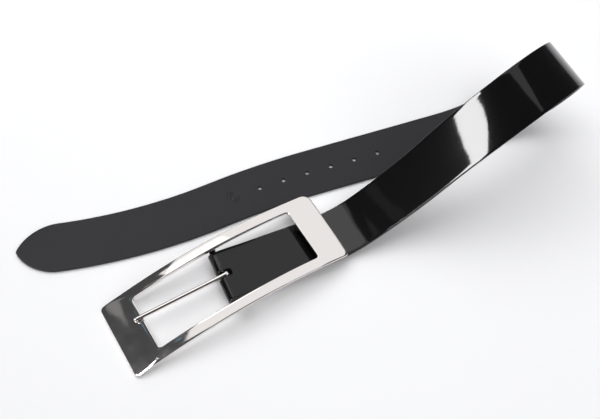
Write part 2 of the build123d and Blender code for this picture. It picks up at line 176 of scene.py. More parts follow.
def on_frame(points):
    """Rows given in the buckle frame's own coordinates, placed in the scene."""
    points = np.asarray(points, float)
    return SEAT + points[..., :1] * FRAME_X + points[..., 1:2] * FRAME_Y + points[..., 2:] * FRAME_Z


# ---- the strap's route ---------------------------------------------------
STRAP_WAY = heading(FRAME_HEADING - STRAP_SKEW)
TAIL_WAY = heading(TAIL_HEADING)
WIDTH_AXIS = heading(WIDTH_AXIS_HEADING)
FOLD_AXIS_POINT = BAR_CENTRE + FRAME_Y * STRAP_SHIFT - STRAP_WAY * FOLD_LEAD
ROUTE_START = FOLD_AXIS_POINT + np.array([0, 0, FOLD_RADIUS + STRAP_THICK / 2])
BAR_TO_GATE = FRAME_LENGTH / 2 - BAR_PAST_MIDDLE - GATE_FROM_END + FOLD_LEAD
FLAP_LENGTH = FLAP_SHARE * BAR_TO_GATE
FLAP_END_HEIGHT = 1.5 * STRAP_THICK + SNAP_GAP + FLAP_HOVER


def under_frame(distance, height):
    """A route row between the bar and the frame's end, level across."""
    point = ROUTE_START + STRAP_WAY * distance
    return (point[0], point[1], height, 0.0)


ROUTE = np.array([
    under_frame(0, ROUTE_START[2]),
    under_frame(FLAP_LENGTH * 0.4, 0.4 * FLAP_END_HEIGHT + 0.6 * ROUTE_START[2]),
    under_frame(FLAP_LENGTH, FLAP_END_HEIGHT),
    under_frame(BAR_TO_GATE, GATE_HOVER + STRAP_THICK / 2),
    *[(x * MM, y * MM, z * MM, lean) for x, y, z, lean in LOOP],
    (TAIL_TO_LOOP * TAIL_WAY[0], TAIL_TO_LOOP * TAIL_WAY[1], STRAP_THICK / 2, 0.0),
])
KNOTS = np.concatenate([[0], np.cumsum(np.linalg.norm(np.diff(ROUTE[:, :3], axis=0), axis=1))])
ROUTE_END = KNOTS[-1]


def route_slopes():
    """Slopes at the knots of the cubic curve with no jump in curvature and fixed ends.

    Row i says step[i] m[i-1] + 2 (step[i-1] + step[i]) m[i] + step[i-1] m[i+1]
    = 3 (step[i] rise[i-1] + step[i-1] rise[i]).
    """
    step = np.diff(KNOTS)[:, None]
    rise = np.diff(ROUTE, axis=0) / step
    system = np.eye(len(KNOTS))
    inner = np.arange(1, len(KNOTS) - 1)
    system[inner, inner - 1] = step[1:, 0]
    system[inner, inner] = 2 * (step[:-1, 0] + step[1:, 0])
    system[inner, inner + 1] = step[:-1, 0]
    wanted = np.zeros_like(ROUTE)
    wanted[0, :3] = STRAP_WAY
    wanted[-1, :3] = -TAIL_WAY
    wanted[inner] = 3 * (step[1:] * rise[:-1] + step[:-1] * rise[1:])
    return np.linalg.solve(system, wanted)


SLOPES = route_slopes()


def route_frame(q):
    """Centre, width and face normal of the strap at distances q along the route.

    The cubic between two knots gives centre and lean; the width is the level direction
    nearest the width axis, turned by the lean about the way forward.
    """
    i = np.clip(np.searchsorted(KNOTS, q) - 1, 0, len(KNOTS) - 2)
    h = (KNOTS[i + 1] - KNOTS[i])[:, None]
    u = ((q - KNOTS[i])[:, None]) / h
    a, b = ROUTE[i], ROUTE[i + 1]
    m, n = SLOPES[i] * h, SLOPES[i + 1] * h
    square, cube = 3 * (b - a) - 2 * m - n, 2 * (a - b) + m + n
    value = a + u * (m + u * (square + u * cube))
    slope = m + u * (2 * square + u * 3 * cube)
    forward = unit(slope[:, :3])
    lean = np.radians(value[:, 3:])
    level = unit(WIDTH_AXIS - forward * (forward @ WIDTH_AXIS)[:, None])
    width = level * np.cos(lean) + np.cross(level, forward) * np.sin(lean)
    return value[:, :3], width, np.cross(width, forward)


def tail_frame(distance):
    """Centre, width and face normal on the tail; distance is positive towards the loop.

    The centreline is straight, then bends through each arc in turn, then is straight to
    the tip. An arc of some length and turn moves the point by its chord.
    """
    point = TAIL_WAY * np.maximum(distance, -TAIL_BEFORE_BEND)[:, None]
    left = np.maximum(-TAIL_BEFORE_BEND - distance, 0)
    way = np.full_like(distance, TAIL_HEADING)
    for length, turn in TAIL_BENDS:
        run = np.minimum(left, length)
        half_swing = np.radians(turn * run / length / 2)
        chord = run * np.sinc(half_swing / np.pi)
        point = point - heading(way + np.degrees(half_swing)) * chord[:, None]
        way = way + turn * run / length
        left = left - run
    point = point - heading(way) * left[:, None]
    point[:, 2] = STRAP_THICK / 2
    normal = np.tile([0.0, 0.0, -1.0], (len(distance), 1))
    return point, heading(way - 90), normal


FOLD_MID_RADIUS = FOLD_RADIUS + STRAP_THICK / 2
FOLD_RUN = math.pi * FOLD_MID_RADIUS


def flap_gap(q):
    """Distance between the two linings at q: the fold's bore, easing to the snaps' gap."""
    u = np.clip((q - TUNNEL_LENGTH) / TUNNEL_TAPER, 0, 1)
    return 2 * FOLD_RADIUS + (SNAP_GAP - 2 * FOLD_RADIUS) * u * u * (3 - 2 * u)


def lay(along, across, height):
    """Places points given along the strap, across it and above its mid thickness.

    along runs from the flap's end (below -FOLD_RUN) round the fold (below 0) over the loop
    to the tail (past ROUTE_END). height is measured towards the shiny face.
    """
    places = np.empty((len(along), 3))
    flap = along < -FOLD_RUN
    fold = (along >= -FOLD_RUN) & (along < 0)
    run = (along >= 0) & (along < ROUTE_END)
    tail = along >= ROUTE_END
    q = -FOLD_RUN - along[flap]
    centre, width, normal = route_frame(q)
    below = -STRAP_THICK - flap_gap(q) - height[flap]
    places[flap] = centre + width * across[flap][:, None] + normal * below[:, None]
    centre, width, normal = route_frame(np.zeros(fold.sum()))
    forward = np.cross(normal, width)
    turn = (along[fold] / FOLD_MID_RADIUS)[:, None]
    spoke = normal * np.cos(turn) + forward * np.sin(turn)
    axis = centre - normal * FOLD_MID_RADIUS
    reach = (FOLD_MID_RADIUS + height[fold])[:, None]
    places[fold] = axis + width * across[fold][:, None] + spoke * reach
    centre, width, normal = route_frame(along[run])
    places[run] = centre + width * across[run][:, None] + normal * height[run][:, None]
    centre, width, normal = tail_frame(TAIL_TO_LOOP - (along[tail] - ROUTE_END))
    places[tail] = centre + width * across[tail][:, None] + normal * height[tail][:, None]
    return places


# ---- the band's grid -----------------------------------------------------
STRAP_END = ROUTE_END + TAIL_TO_LOOP + TAIL_LENGTH - TIP_CUT
TAPER_START = STRAP_END + TIP_CUT - TIP_TAPER
TIP_ARC = (TIP_TAPER**2 + HALF_WIDTH**2) / (2 * HALF_WIDTH)
BLOCK = 6.0 * MM             # half size of the square patch round each opening
STAMP_BLOCK = 8.4 * MM       # the same for the stamp
BLOCK_STEP = 1.5 * MM
HOLE_SHARES = (0.6, 0.3, 0.12, 0.04, 0.0)
STAMP_SHARES = np.linspace(0.9, 0, 28)
STAMP_CENTRE = 0.15 * MM     # radius of the small face in the middle of the stamp
FLAP_END_LINES = np.array([0, 0.1, 0.35, 0.8]) * MM
FLAP_END_RUN = 1.5 * MM      # from the flap's end to the even steps
LONG_STEP = 2.5 * MM
HOLE_ROW_STEP = 2.0 * MM
FOLD_STEP = 0.75 * MM
SIDE_STEP = 2.4 * MM
TIP_LINES = 48
EDGE_LINES = 6
HAIR = 1e-7                  # slack when a grid line is looked up by its place
FAR = 1.0                    # a distance to an edge that no rounding reaches


def half_width(along):
    """Half the strap's width; over the tip it follows two arcs tangent to the edges.

    The point is blunted: the distance from the full point is taken as the square root of
    itself squared less the cut squared, which rounds the end and dies away behind it.
    """
    left = np.maximum(STRAP_END - along, 0) + TIP_CUT
    past = np.clip(TIP_TAPER - np.sqrt(left**2 - TIP_CUT**2), 0, TIP_TAPER)
    pointed = HALF_WIDTH - TIP_ARC + np.sqrt(TIP_ARC**2 - past**2)
    return np.maximum(pointed, NOSE_END)


def steps(start, end, size):
    """Even steps from start up to but not including end, none larger than size."""
    count = max(1, math.ceil((end - start) / size - 1e-6))
    return np.linspace(start, end, count, endpoint=False)


HOLES = [ROUTE_END + TAIL_TO_LOOP - (FIRST_HOLE + i * HOLE_PITCH) for i in range(HOLE_COUNT)][::-1]
STAMP = ROUTE_END + TAIL_TO_LOOP - STAMP_PLACE
# each round feature: centres of its first and last round ends, its side shift and radius
OPENINGS = [(-FOLD_RUN - SLOT_END + SLOT_HALF, SLOT_END - SLOT_HALF, SLOT_SIDE, SLOT_HALF)]
OPENINGS += [(place, place, 0.0, HOLE_RADIUS) for place in HOLES]


def grid_lines():
    """Distances along and across at which the band has vertices.

    Along, the lines close up at the fold, the round openings and the tip. Across, they
    close up where the edges are rounded: width less round (1 - cos angle).
    """
    flap_end = -FOLD_RUN - FLAP_LENGTH
    along = [flap_end + FLAP_END_LINES]
    slot_from, slot_to = OPENINGS[0][0] - BLOCK, OPENINGS[0][1] + BLOCK
    along.append(steps(flap_end + FLAP_END_RUN, slot_from, LONG_STEP))
    along.append(steps(slot_from, slot_to, FOLD_STEP))
    here = slot_to
    for place, block in [(hole, BLOCK) for hole in HOLES] + [(STAMP, STAMP_BLOCK)]:
        along.append(steps(here, place - block, HOLE_ROW_STEP))
        along.append(steps(place - block, place + block, BLOCK_STEP))
        here = place + block
    along.append(steps(here, TAPER_START, LONG_STEP))
    swing = np.linspace(0, math.pi / 2, TIP_LINES)
    along.append(TAPER_START + (TIP_TAPER - TIP_CUT) * np.sin(swing))
    turns = np.linspace(0, math.pi / 2, EDGE_LINES)
    edge = HALF_WIDTH - FACE_EDGE_ROUND * (1 - np.cos(turns))
    outside = [edge, steps(BLOCK, STAMP_BLOCK, SIDE_STEP), steps(STAMP_BLOCK, edge[-1], SIDE_STEP)]
    side = np.unique(np.concatenate(outside))
    middle = steps(-BLOCK, BLOCK, BLOCK_STEP)[1:]
    return np.unique(np.concatenate(along)), np.concatenate([-side[::-1], middle, side])


def band():
    """The strap as a flat sheet: along, across, distance to the edge, and its faces.

    A grid, less a block at each opening. Each block is filled by rings of quads that run
    from the block's border to the opening's outline, a round or an obround hole.
    """
    lines, columns = grid_lines()
    rows, cols = len(lines), len(columns)
    along = np.repeat(lines, cols)
    share = np.tile(columns / HALF_WIDTH, rows)
    wide = half_width(along)
    across = share * wide
    slope = np.gradient(half_width(lines), lines)
    lean = np.repeat(np.cos(np.arctan(slope)), cols)
    to_edge = (wide - np.abs(across)) * lean
    to_edge = np.minimum(to_edge, np.minimum(along - lines[0], lines[-1] - along + to_edge))
    to_hole = np.full_like(along, FAR)
    number = np.arange(rows * cols).reshape(rows, cols)
    keep = np.ones((rows - 1, cols - 1), bool)
    parts = {"along": [along], "across": [across], "edge": [to_edge], "hole": [to_hole]}
    faces = []
    made = rows * cols
    for first, last, side, radius in (*OPENINGS, (STAMP, STAMP, 0.0, 0.0)):
        block = BLOCK if radius > 0 else STAMP_BLOCK
        low = np.searchsorted(lines, first - block - HAIR)
        high = np.searchsorted(lines, last + block - HAIR)
        left = np.searchsorted(columns, -block - HAIR)
        right = np.searchsorted(columns, block - HAIR)
        keep[low:high, left:right] = False
        border = np.concatenate([
            number[low, left:right],
            number[low:high, right],
            number[high, right:left:-1],
            number[high:low:-1, left],
        ])
        x, y = along[border], across[border]
        near = np.clip(x, first, last)
        spoke = np.stack([x - near, y - side], axis=1)
        rim = np.stack([near, 0 * y + side], axis=1) + unit(spoke) * max(radius, STAMP_CENTRE)
        span = np.hypot(x - rim[:, 0], y - rim[:, 1])
        ring = border
        for share_left in HOLE_SHARES if radius > 0 else STAMP_SHARES:
            parts["along"].append(rim[:, 0] + (x - rim[:, 0]) * share_left)
            parts["across"].append(rim[:, 1] + (y - rim[:, 1]) * share_left)
            parts["edge"].append(np.full(len(border), FAR))
            parts["hole"].append(span * share_left if radius > 0 else np.full(len(border), FAR))
            inner = made + np.arange(len(border))
            made += len(border)
            faces.append(np.stack([ring, np.roll(ring, -1), np.roll(inner, -1), inner], axis=1))
            ring = inner
        if radius == 0:
            half = len(ring) // 2
            k = np.arange(half - 1)
            faces.append(np.stack([ring[k], ring[k + 1], ring[-k - 2], ring[-k - 1]], axis=1))
    i, j = np.nonzero(keep)
    corners = [number[i, j], number[i, j + 1], number[i + 1, j + 1], number[i + 1, j]]
    faces.append(np.stack(corners, axis=1))
    return {key: np.concatenate(value) for key, value in parts.items()}, np.concatenate(faces)


def rounding(distance, radius):
    """How far a quarter-round edge has fallen at a distance in from the edge."""
    inside = np.clip(radius - distance, 0, radius)
    return radius - np.sqrt(radius**2 - inside**2)


def stamped(along, across):
    """Depth of the blind stamp: a raised cosine groove round each of its rings."""
    reach = np.hypot(along - STAMP, across)
    depth = np.zeros_like(reach)
    for ring in STAMP_RINGS:
        off = np.clip(np.abs(reach - ring) / STAMP_GROOVE, 0, 1)
        depth += STAMP_DEPTH * (1 + np.cos(np.pi * off)) / 2
    return depth


def rim_edges(faces):
    """Directed edges that only one face uses, in the faces' own direction."""
    edges = np.stack([faces, np.roll(faces, -1, axis=1)], axis=2).reshape(-1, 2)
    ordered = np.sort(edges, axis=1)
    key = ordered[:, 0].astype(np.int64) * (ordered.max() + 1) + ordered[:, 1]
    _, where, count = np.unique(key, return_inverse=True, return_counts=True)
    return edges[count[where] == 1]


def make_object(name, points, faces, uv=None, paint=None, sharp=42):
    """A smooth-shaded mesh object from arrays; uv is per vertex, paint is per face.

    Edges that turn by more than sharp, in degrees, stay crisp.
    """
    mesh = bpy.data.meshes.new(name)
    mesh.from_pydata(points, [], faces)
    if uv is not None:
        corner = np.empty(len(mesh.loops), np.int32)
        mesh.loops.foreach_get("vertex_index", corner)
        layer = mesh.uv_layers.new(name="strap")
        layer.data.foreach_set("uv", uv[corner].astype(np.float32).ravel())
    if paint is not None:
        mesh.polygons.foreach_set("material_index", np.asarray(paint, np.int32))
    mesh.shade_smooth()
    mesh.set_sharp_from_angle(angle=math.radians(sharp))
    mesh.validate()
    mesh.update()
    thing = bpy.data.objects.new(name, mesh)
    bpy.context.scene.collection.objects.link(thing)
    return thing


def make_ply(name, side, thickness, edge_round):
    """One leather ply as a closed solid.

    The outer sheet lies at the ply's thickness less the rounding at its edges, the glue
    sheet lies at the glue line, and walls join the two along every edge and opening.
    side is 1 for the face and -1 for the lining.
    """
    sheet, faces = band()
    glue = GLUE_HEIGHT if side < 0 else GLUE_HEIGHT + GLUE_GAP
    fall = rounding(sheet["edge"], edge_round) + rounding(sheet["hole"], HOLE_EDGE_ROUND)
    if side < 0:
        fall = fall + stamped(sheet["along"], sheet["across"])
    outer = lay(sheet["along"], sheet["across"], glue + side * (thickness - fall))
    inner = lay(sheet["along"], sheet["across"], np.full(len(fall), glue))
    count = len(fall)
    rim = rim_edges(faces)
    walls = np.stack([rim[:, 1], rim[:, 0], rim[:, 0] + count, rim[:, 1] + count], axis=1)
    every = np.concatenate([faces, faces[:, ::-1] + count, walls])
    if side < 0:
        every = every[:, ::-1]
    paint = np.concatenate([np.zeros(2 * len(faces)), np.ones(len(walls))])
    flat = np.stack([sheet["along"], sheet["across"]], axis=1)
    points = np.concatenate([outer, inner])
    return make_object(name, points, every, np.concatenate([flat, flat]), paint)


# ---- buckle --------------------------------------------------------------
PLATE_STRAIGHT = (26, 110)   # steps along an end and along a rail
CORNER_STEPS = 8
ROUND_POINTS = 7             # over each rounded rim
TOP_STEPS = 8                # across the top between the rims
UNDER_POINTS = 5
PLATE_SHARP = 50
LUG_POINTS = 25
LUG_IN_PLATE = 0.8 * MM      # how far a lug runs up into the plate
LUG_SOFTEN = 0.4 * MM


def rounded_rectangle(x_low, x_high, y_half, radii, straight, round_steps):
    """A closed outline as rows (x, y), counter-clockwise from the lower right corner.

    radii are the corner radii in that order. Every outline with the same steps has the
    same number of points, corner by corner.
    """
    turns = np.linspace(0, math.pi / 2, round_steps + 1)
    rows = []
    a, b, c, d = radii
    corners = (
        (x_high - a, -y_half + a, a, -math.pi / 2),
        (x_high - b, y_half - b, b, 0),
        (x_low + c, y_half - c, c, math.pi / 2),
        (x_low + d, -y_half + d, d, math.pi),
    )
    for k, (x, y, r, start) in enumerate(corners):
        arc = np.stack([x + r * np.cos(start + turns), y + r * np.sin(start + turns)], axis=1)
        nx, ny, nr, nstart = corners[(k + 1) % 4]
        after = np.array([nx + nr * np.cos(nstart), ny + nr * np.sin(nstart)])
        share = np.linspace(0, 1, straight[k % 2], endpoint=False)[1:, None]
        rows += [arc, arc[-1] + (after - arc[-1]) * share]
    return np.concatenate(rows)


def arch_top(x):
    """Height of the frame's arched top at x along the frame."""
    return np.sqrt(ARCH_RADIUS**2 - x**2) - ARCH_RADIUS


def arch_thickness(x):
    """Thickness of the frame, full at the crown and thinner towards the ends."""
    return END_THICK + (CROWN_THICK - END_THICK) * (1 - (2 * x / FRAME_LENGTH) ** 2)


def ring_faces(stations, around):
    """Quads of a grid closed both ways, stations along it and points around it."""
    i = np.arange(stations)[:, None]
    j = np.arange(around)[None, :]
    number = i * around + j
    ahead = ((i + 1) % stations) * around + j
    beside = i * around + (j + 1) % around
    across = ((i + 1) % stations) * around + (j + 1) % around
    return np.stack([number, ahead, across, beside], axis=-1).reshape(-1, 4)


def make_frame_plate():
    """The buckle's arched plate as a closed ring.

    Each station joins a window point to an outline point. Its section goes up the window
    wall, over a quarter round, across the top, over the outer round, down the outer wall
    and back under. On the rails the top falls towards the outline by the dome times the
    share across squared, easing to nothing at the end bars.
    """
    half = FRAME_LENGTH / 2
    rim = WINDOW_WIDTH / 2
    corners = (RIGHT_NEAR_CORNER, RIGHT_FAR_CORNER, LEFT_CORNER, LEFT_CORNER)
    window = rounded_rectangle(
        LEFT_BAR - half, half - RIGHT_BAR, rim, (WINDOW_CORNER,) * 4, PLATE_STRAIGHT, CORNER_STEPS)
    outline = rounded_rectangle(
        -half, half, rim + RAIL_WIDTH, corners, PLATE_STRAIGHT, CORNER_STEPS)
    span = np.linalg.norm(outline - window, axis=1)[:, None]
    way = (outline - window) / span
    ease = np.clip((half - RIGHT_NEAR_CORNER - np.abs(outline[:, :1])) / DOME_EASE, 0, 1)
    dome = RAIL_DOME * ease * ease * (3 - 2 * ease)
    turns = np.linspace(0, math.pi / 2, ROUND_POINTS)
    inset = EDGE_ROUND * (1 - np.cos(turns))
    fall = EDGE_ROUND * (1 - np.sin(turns))
    share = np.linspace(0, 1, TOP_STEPS + 1)[1:-1]
    back = np.linspace(1, 0, UNDER_POINTS)
    ones = np.ones_like(span)
    out = np.concatenate([
        0 * ones,
        ones * inset,
        EDGE_ROUND + (span - 2 * EDGE_ROUND) * share,
        span - inset[::-1],
        span,
        UNDER_ROUND + (span - 2 * UNDER_ROUND) * back,
    ], axis=1)
    spot = window[:, None, :] + way[:, None, :] * out[:, :, None]
    thick = arch_thickness(spot[..., 0])
    drop = np.concatenate([
        thick[:, :1] - UNDER_ROUND,
        ones * fall,
        dome * share**2,
        dome + fall[::-1],
        thick[:, -UNDER_POINTS - 1:-UNDER_POINTS] - UNDER_ROUND,
        thick[:, -UNDER_POINTS:],
    ], axis=1)
    rise = arch_top(spot[..., 0]) - drop
    points = on_frame(np.concatenate([spot, rise[..., None]], axis=-1).reshape(-1, 3))
    return make_object("frame_plate", points, ring_faces(len(window), out.shape[1]), sharp=PLATE_SHARP)


def make_lug(name, side):
    """A lug under a rail: a round-bottomed plate, drawn as its outline and thickened."""
    turns = np.linspace(math.pi, 2 * math.pi, LUG_POINTS)
    x = BAR_PAST_MIDDLE + np.concatenate([LUG_RADIUS * np.cos(turns), [LUG_RADIUS, -LUG_RADIUS]])
    z = np.concatenate([LUG_RADIUS * np.sin(turns) - BAR_DROP, [LUG_IN_PLATE - CROWN_THICK] * 2])
    y = side * (WINDOW_WIDTH / 2 + LUG_SETBACK)
    count = len(x)
    near = np.stack([x, np.full(count, y), z], axis=1)
    far = near + np.array([0, side * LUG_THICK, 0])
    i = np.arange(count)
    ahead = (i + 1) % count
    walls = [tuple(quad) for quad in np.stack([i, ahead, ahead + count, i + count], axis=1)]
    ends = [tuple(i[::-1]), tuple(i + count)]
    faces = walls + ends
    if side > 0:
        faces = [tuple(reversed(face)) for face in faces]
    lug = make_object(name, on_frame(np.concatenate([near, far])), faces)
    soften = lug.modifiers.new("soft edges", "BEVEL")
    soften.width = LUG_SOFTEN
    soften.segments = 3
    soften.limit_method = "ANGLE"
    return lug


PIN_AROUND = 32
PIN_LEAD_STEPS = 6
PIN_BEND_POINTS = 15
PIN_BODY_POINTS = 30
PIN_CAP_POINTS = 10
PIN_CAP_REACH = 0.95         # length of the rounded end, in pin radii
PIN_END_SHARE = 0.02         # radius left at the very end, in pin radii
RING_STEPS = 64
RING_CORNER = 0.9 * MM


def make_prong_pin():
    """The prong's round wire: a tube along a line that rises, bends once and runs to the tip.

    The bend is a parabola between the two straight parts. The tube's radius stays full
    and closes over the last stretch as a quarter ellipse.
    """
    edge_x = LEFT_BAR - EDGE_ROUND - FRAME_LENGTH / 2
    rest_z = arch_top(edge_x) + PRONG_RADIUS + PRONG_REST_GAP
    ring_radius = PRONG_RING_BORE + PRONG_RING_WALL
    root = np.array([BAR_PAST_MIDDLE, PRONG_SIDE, ring_radius - PRONG_RADIUS / 2 - BAR_DROP])
    bend = np.array([BAR_PAST_MIDDLE - PRONG_BEND_AT, PRONG_SIDE, PRONG_BEND_RISE - BAR_DROP])
    straight = PRONG_REACH - PRONG_BEND_AT - PRONG_RADIUS
    rise_rate = (rest_z - bend[2]) / (bend[0] - edge_x)
    run = np.array([-1.0, math.tan(math.radians(PRONG_SET)), rise_rate])
    first, second = unit(bend - root), unit(run)
    reach = PRONG_BEND_SPAN
    t = np.linspace(0, 1, PIN_BEND_POINTS)[:, None]
    enter, leave = bend - first * reach, bend + second * reach
    curve = (1 - t) ** 2 * enter + 2 * t * (1 - t) * bend + t**2 * leave
    tip = bend + run * straight
    lead_share = np.linspace(0, 1, PIN_LEAD_STEPS, endpoint=False)[:, None]
    lead = root + (curve[0] - root) * lead_share
    blunt = PRONG_RADIUS * PIN_CAP_REACH
    flat_end = tip - second * blunt
    body = curve[-1] + (flat_end - curve[-1]) * np.linspace(0, 1, PIN_BODY_POINTS)[1:, None]
    turns = np.linspace(0, math.pi / 2, PIN_CAP_POINTS)[1:, None]
    cap = flat_end + second * blunt * np.sin(turns)
    path = np.concatenate([lead, curve, body, cap])
    radius = np.full(len(path), PRONG_RADIUS)
    radius[-len(cap):] = PRONG_RADIUS * np.maximum(np.cos(turns[:, 0]), PIN_END_SHARE)
    along = unit(np.gradient(path, axis=0))
    side = unit(np.cross(along, [0, 0, 1.0]))
    up = np.cross(side, along)
    spin = np.linspace(0, 2 * math.pi, PIN_AROUND, endpoint=False)[None, :, None]
    wall = side[:, None, :] * np.cos(spin) + up[:, None, :] * np.sin(spin)
    points = path[:, None, :] + wall * radius[:, None, None]
    count, around = len(path), PIN_AROUND
    i = np.arange(count - 1)[:, None]
    j = np.arange(around)[None, :]
    beside = (j + 1) % around
    quads = np.stack([
        i * around + j,
        i * around + beside,
        (i + 1) * around + beside,
        (i + 1) * around + j,
    ], axis=-1).reshape(-1, 4)
    faces = [tuple(quad) for quad in quads]
    faces.append(tuple(range(around))[::-1])
    faces.append(tuple((count - 1) * around + np.arange(around)))
    return make_object("prong_pin", on_frame(points.reshape(-1, 3)), faces)


def make_prong_ring():
    """The prong's eye round the bar: a rounded rectangle section turned about the bar."""
    turns = np.linspace(0, 2 * math.pi, RING_STEPS, endpoint=False)
    half = PRONG_RING_WIDTH / 2
    section = rounded_rectangle(
        PRONG_RING_BORE, PRONG_RING_BORE + PRONG_RING_WALL, half, (RING_CORNER,) * 4, (4, 4), 5)
    reach, y = section[:, 0], section[:, 1]
    points = np.stack([
        BAR_PAST_MIDDLE + reach[None, :] * np.cos(turns)[:, None],
        PRONG_SIDE + np.tile(y, (len(turns), 1)),
        reach[None, :] * np.sin(turns)[:, None] - BAR_DROP,
    ], axis=-1)
    faces = ring_faces(len(turns), len(section))
    return make_object("prong_ring", on_frame(points.reshape(-1, 3)), faces)


# ---- materials -----------------------------------------------------------
def srgb(code):
    """Linear colour from an sRGB hex code."""
    value = np.array([int(code[k:k + 2], 16) for k in (1, 3, 5)]) / 255
    linear = np.where(value <= 0.04045, value / 12.92, ((value + 0.055) / 1.055) ** 2.4)
    return (*linear, 1.0)


class Finish:
    """A material under construction."""

    def __init__(self, name):
        self.material = bpy.data.materials.new(name)
        self.material.use_nodes = True
        self.tree = self.material.node_tree
        self.shader = self.tree.nodes["Principled BSDF"]

    def add(self, kind, links=(), **settings):
        """Adds a node; settings are its sockets or attributes, links are (socket, output)."""
        node = self.tree.nodes.new(kind)
        for key, value in settings.items():
            if hasattr(node, key):
                setattr(node, key, value)
            else:
                node.inputs[key.replace("_", " ")].default_value = value
        for socket, output in links:
            self.tree.links.new(output, node.inputs[socket])
        return node

    def set(self, **values):
        """All-over values on the shader's own sockets."""
        for key, value in values.items():
            self.shader.inputs[key.replace("_", " ")].default_value = value

    def feed(self, socket, output):
        """Links an output to one of the shader's sockets."""
        self.tree.links.new(output, self.shader.inputs[socket])


def per_mm(size):
    """Pattern scale for a feature of this many millimetres on metre coordinates."""
    return 1 / (size * MM)


def patent_leather():
    """Lacquered leather: black hide under a thick clear film, so sharp reflections that
    waver slightly where the film follows the hide."""
    f = Finish("patent_leather_lacquered")
    f.set(Base_Color=srgb("#0a0a0b"), Roughness=0.32, Specular_IOR_Level=0.03)
    f.set(Coat_Weight=1.0, Coat_Roughness=0.06, Coat_IOR=1.45)
    place = f.add("ShaderNodeUVMap", uv_map="strap").outputs["UV"]
    swell = f.add("ShaderNodeTexNoise", [("Vector", place)], Scale=per_mm(38), Detail=1.0, Roughness=0.4)
    peel = f.add("ShaderNodeTexNoise", [("Vector", place)], Scale=per_mm(2.6), Detail=2.0, Roughness=0.5)
    wave = f.add("ShaderNodeBump", [("Height", swell.outputs["Fac"])], Strength=1.0, Distance=0.35 * MM)
    skin = f.add("ShaderNodeBump", [("Height", peel.outputs["Fac"]), ("Normal", wave.outputs["Normal"])],
                 Strength=1.0, Distance=0.012 * MM)
    f.feed("Coat Normal", skin.outputs["Normal"])
    f.feed("Normal", skin.outputs["Normal"])
    return f.material


def lining_leather():
    """Corrected-grain lining leather: charcoal, matte, with a close fine grain."""
    f = Finish("lining_leather_matte")
    f.set(Roughness=0.62, Specular_IOR_Level=0.35)
    place = f.add("ShaderNodeUVMap", uv_map="strap").outputs["UV"]
    cloud = f.add("ShaderNodeTexNoise", [("Vector", place)], Scale=per_mm(60), Detail=4.0, Roughness=0.6)
    tone = f.add("ShaderNodeMix", [("Factor", cloud.outputs["Fac"])], data_type="RGBA")
    tone.inputs["A"].default_value = srgb("#201f22")
    tone.inputs["B"].default_value = srgb("#28272b")
    f.feed("Base Color", tone.outputs["Result"])
    grain = f.add("ShaderNodeTexVoronoi", [("Vector", place)], Scale=per_mm(1.1))
    fibre = f.add("ShaderNodeTexNoise", [("Vector", place)], Scale=per_mm(0.5), Detail=3.0)
    pores = f.add("ShaderNodeBump", [("Height", grain.outputs["Distance"])], Strength=0.5, Distance=0.05 * MM)
    nap = f.add("ShaderNodeBump", [("Height", fibre.outputs["Fac"]), ("Normal", pores.outputs["Normal"])],
                Strength=0.5, Distance=0.03 * MM)
    f.feed("Normal", nap.outputs["Normal"])
    return f.material


def edge_paint():
    """Brushed-on acrylic edge paint: black, half gloss, slightly uneven."""
    f = Finish("edge_paint_burnished")
    f.set(Base_Color=srgb("#1a1a1b"), Roughness=0.34)
    place = f.add("ShaderNodeTexCoord").outputs["Object"]
    brush = f.add("ShaderNodeTexNoise", [("Vector", place)], Scale=per_mm(1.5), Detail=2.0)
    uneven = f.add("ShaderNodeBump", [("Height", brush.outputs["Fac"])], Strength=0.6, Distance=0.05 * MM)
    f.feed("Normal", uneven.outputs["Normal"])
    return f.material


def nickel_plate():
    """Polished nickel plate on cast zinc: a mirror with a faint buffing haze and hairlines."""
    f = Finish("nickel_plate_polished")
    f.set(Base_Color=srgb("#f0ebe8"), Metallic=1.0)
    place = f.add("ShaderNodeTexCoord").outputs["Object"]
    haze = f.add("ShaderNodeTexNoise", [("Vector", place)], Scale=per_mm(14), Detail=3.0)
    rough = f.add("ShaderNodeMapRange", [("Value", haze.outputs["Fac"])])
    rough.inputs["From Min"].default_value = 0.3
    rough.inputs["From Max"].default_value = 0.7
    rough.inputs["To Min"].default_value = 0.05
    rough.inputs["To Max"].default_value = 0.1
    f.feed("Roughness", rough.outputs["Result"])
    turned = f.add("ShaderNodeMapping", [("Vector", place)])
    turned.inputs["Rotation"].default_value = (0, 0, math.radians(-FRAME_HEADING))
    turned.inputs["Scale"].default_value = (0.04, 1.0, 1.0)
    lines = f.add("ShaderNodeTexNoise", [("Vector", turned.outputs["Vector"])], Scale=per_mm(0.6), Detail=2.0)
    buffed = f.add("ShaderNodeBump", [("Height", lines.outputs["Fac"])], Strength=0.25, Distance=0.004 * MM)
    ripple = f.add("ShaderNodeTexNoise", [("Vector", place)], Scale=per_mm(22), Detail=1.0)
    cast = f.add("ShaderNodeBump", [("Height", ripple.outputs["Fac"]), ("Normal", buffed.outputs["Normal"])],
                 Strength=1.0, Distance=0.05 * MM)
    f.feed("Normal", cast.outputs["Normal"])
    return f.material


def snap_steel():
    """Stamped and tumbled steel: satin, with soft fine marks."""
    f = Finish("snap_steel_tumbled")
    f.set(Base_Color=srgb("#b9b5b0"), Metallic=1.0, Roughness=0.3)
    place = f.add("ShaderNodeTexCoord").outputs["Object"]
    marks = f.add("ShaderNodeTexNoise", [("Vector", place)], Scale=per_mm(0.8), Detail=3.0)
    dented = f.add("ShaderNodeBump", [("Height", marks.outputs["Fac"])], Strength=0.3, Distance=0.02 * MM)
    f.feed("Normal", dented.outputs["Normal"])
    return f.material


PATENT = patent_leather()
LINING = lining_leather()
EDGE = edge_paint()
NICKEL = nickel_plate()
STEEL = snap_steel()


